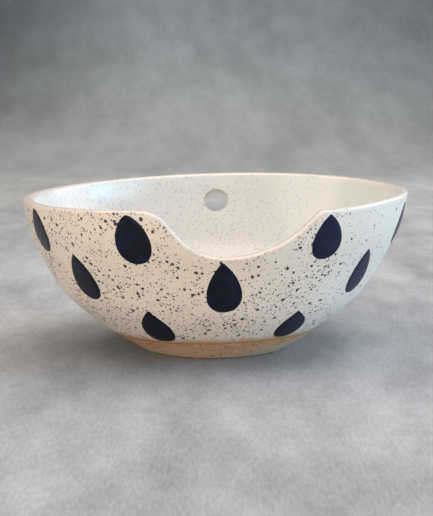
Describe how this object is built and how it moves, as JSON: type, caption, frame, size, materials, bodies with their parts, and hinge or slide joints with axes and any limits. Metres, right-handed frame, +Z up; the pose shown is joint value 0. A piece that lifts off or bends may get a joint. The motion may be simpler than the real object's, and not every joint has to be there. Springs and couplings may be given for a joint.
{
  "type": "yarn bowl",
  "caption": "Round stoneware bowl with a dip in the front of its rim for yarn and a needle hole in the back wall, in speckled pale glaze with dark glaze drops.",
  "frame": {"origin": "centre of the foot, on the surface that the bowl stands on", "axes": "+Z up; -Y towards the dip in the rim; +Y towards the needle hole"},
  "size_m": [0.1699, 0.1662, 0.0695],
  "materials": {
    "fired_clay": "matt bare stoneware, flashed orange-brown just under the glaze",
    "speckled_glaze": "glossy cream-white glaze with dark blue-black speckles",
    "dark_glaze": "glossy dark navy glaze, slightly raised"
  },
  "bodies": {
    "root": {"clay_body": "fired_clay", "glaze_coat": "speckled_glaze", "drop_upper_1": "dark_glaze", "drop_upper_2": "dark_glaze", "drop_upper_3": "dark_glaze", "drop_upper_4": "dark_glaze", "drop_upper_5": "dark_glaze", "drop_upper_6": "dark_glaze", "drop_upper_7": "dark_glaze", "drop_upper_8": "dark_glaze", "drop_middle_1": "dark_glaze", "drop_middle_2": "dark_glaze", "drop_middle_3": "dark_glaze", "drop_middle_4": "dark_glaze", "drop_middle_5": "dark_glaze", "drop_middle_6": "dark_glaze", "drop_middle_7": "dark_glaze", "drop_middle_8": "dark_glaze", "drop_lower_1": "dark_glaze", "drop_lower_2": "dark_glaze", "drop_lower_3": "dark_glaze", "drop_lower_4": "dark_glaze", "drop_lower_5": "dark_glaze", "drop_lower_6": "dark_glaze"}
  },
  "joints": []
}
